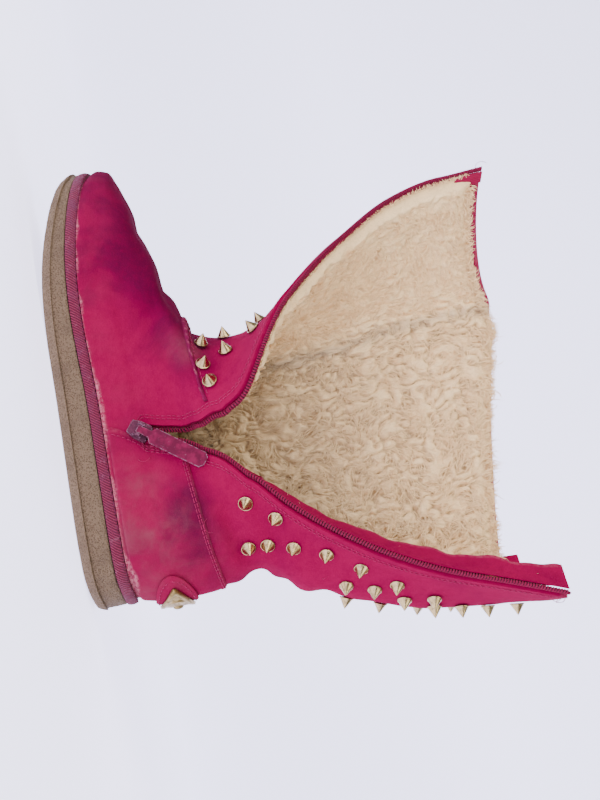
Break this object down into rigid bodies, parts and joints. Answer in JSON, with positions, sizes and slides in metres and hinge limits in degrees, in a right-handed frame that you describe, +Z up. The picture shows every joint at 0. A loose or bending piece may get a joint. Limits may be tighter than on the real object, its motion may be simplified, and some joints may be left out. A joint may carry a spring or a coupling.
{
  "type": "fleece-lined studded winter boot",
  "caption": "Pull-on winter boot with a flat crumb-rubber sole, deep fleece lining, cone studs on the shaft and a side zip left open, so the shaft lies spread.",
  "frame": {"origin": "on the floor, in the middle of the heel's flat spot, below the sole's middle line", "axes": "+Z up, toe towards -X, the foot's inner side with the zip towards -Y"},
  "size_m": [0.3003, 0.1123, 0.2745],
  "materials": {
    "pink_suede": "napped suede, worn pale along the sole and the heel",
    "dark_pink_suede": "napped suede, rubbed dark",
    "pink_twill": "diagonal twill wrap",
    "tan_rubber": "pebbled crumb rubber, matt",
    "cream_fleece": "deep curly pile",
    "zip_pink": "woven tape with a nylon coil",
    "painted_zip_metal": "paint worn to grey metal",
    "pale_gold": "polished pale gold plating"
  },
  "bodies": {
    "boot": {"outsole": "tan_rubber", "wrapped_midsole": "pink_twill", "insole": "cream_fleece", "upper": "pink_suede", "fleece_lining": "cream_fleece", "heel_counter": "pink_suede", "vamp_seam": "dark_pink_suede", "zip_front": "zip_pink", "zip_back": "zip_pink", "zip_guard": "pink_suede", "zip_slider": "painted_zip_metal", "heel_patch": "pink_suede", "heel_plate": "pale_gold", "collar_tab": "pink_suede", "stud_01": "pale_gold", "stud_02": "pale_gold", "stud_03": "pale_gold", "stud_04": "pale_gold", "stud_05": "pale_gold", "stud_06": "pale_gold", "stud_07": "pale_gold", "stud_08": "pale_gold", "stud_09": "pale_gold", "stud_10": "pale_gold", "stud_11": "pale_gold", "stud_12": "pale_gold", "stud_13": "pale_gold", "stud_14": "pale_gold", "stud_15": "pale_gold", "stud_16": "pale_gold", "stud_17": "pale_gold", "stud_18": "pale_gold", "stud_19": "pale_gold", "stud_20": "pale_gold", "stud_21": "pale_gold", "stud_22": "pale_gold", "stud_23": "pale_gold", "stud_24": "pale_gold", "stud_25": "pale_gold", "stud_26": "pale_gold", "stud_27": "pale_gold", "stud_28": "pale_gold", "stud_29": "pale_gold", "stud_30": "pale_gold", "stud_31": "pale_gold", "stud_32": "pale_gold", "stud_33": "pale_gold", "stud_34": "pale_gold", "stud_35": "pale_gold"},
    "pull": {"zip_pull": "painted_zip_metal"}
  },
  "joints": [
    {"name": "pull_hinge", "type": "hinge", "parent": "boot", "child": "pull", "pos_m": [-0.04795, -0.04141, 0.0391], "axis": [0.7878, 0.0208, -0.6155], "range_deg": [0, 165]}
  ]
}
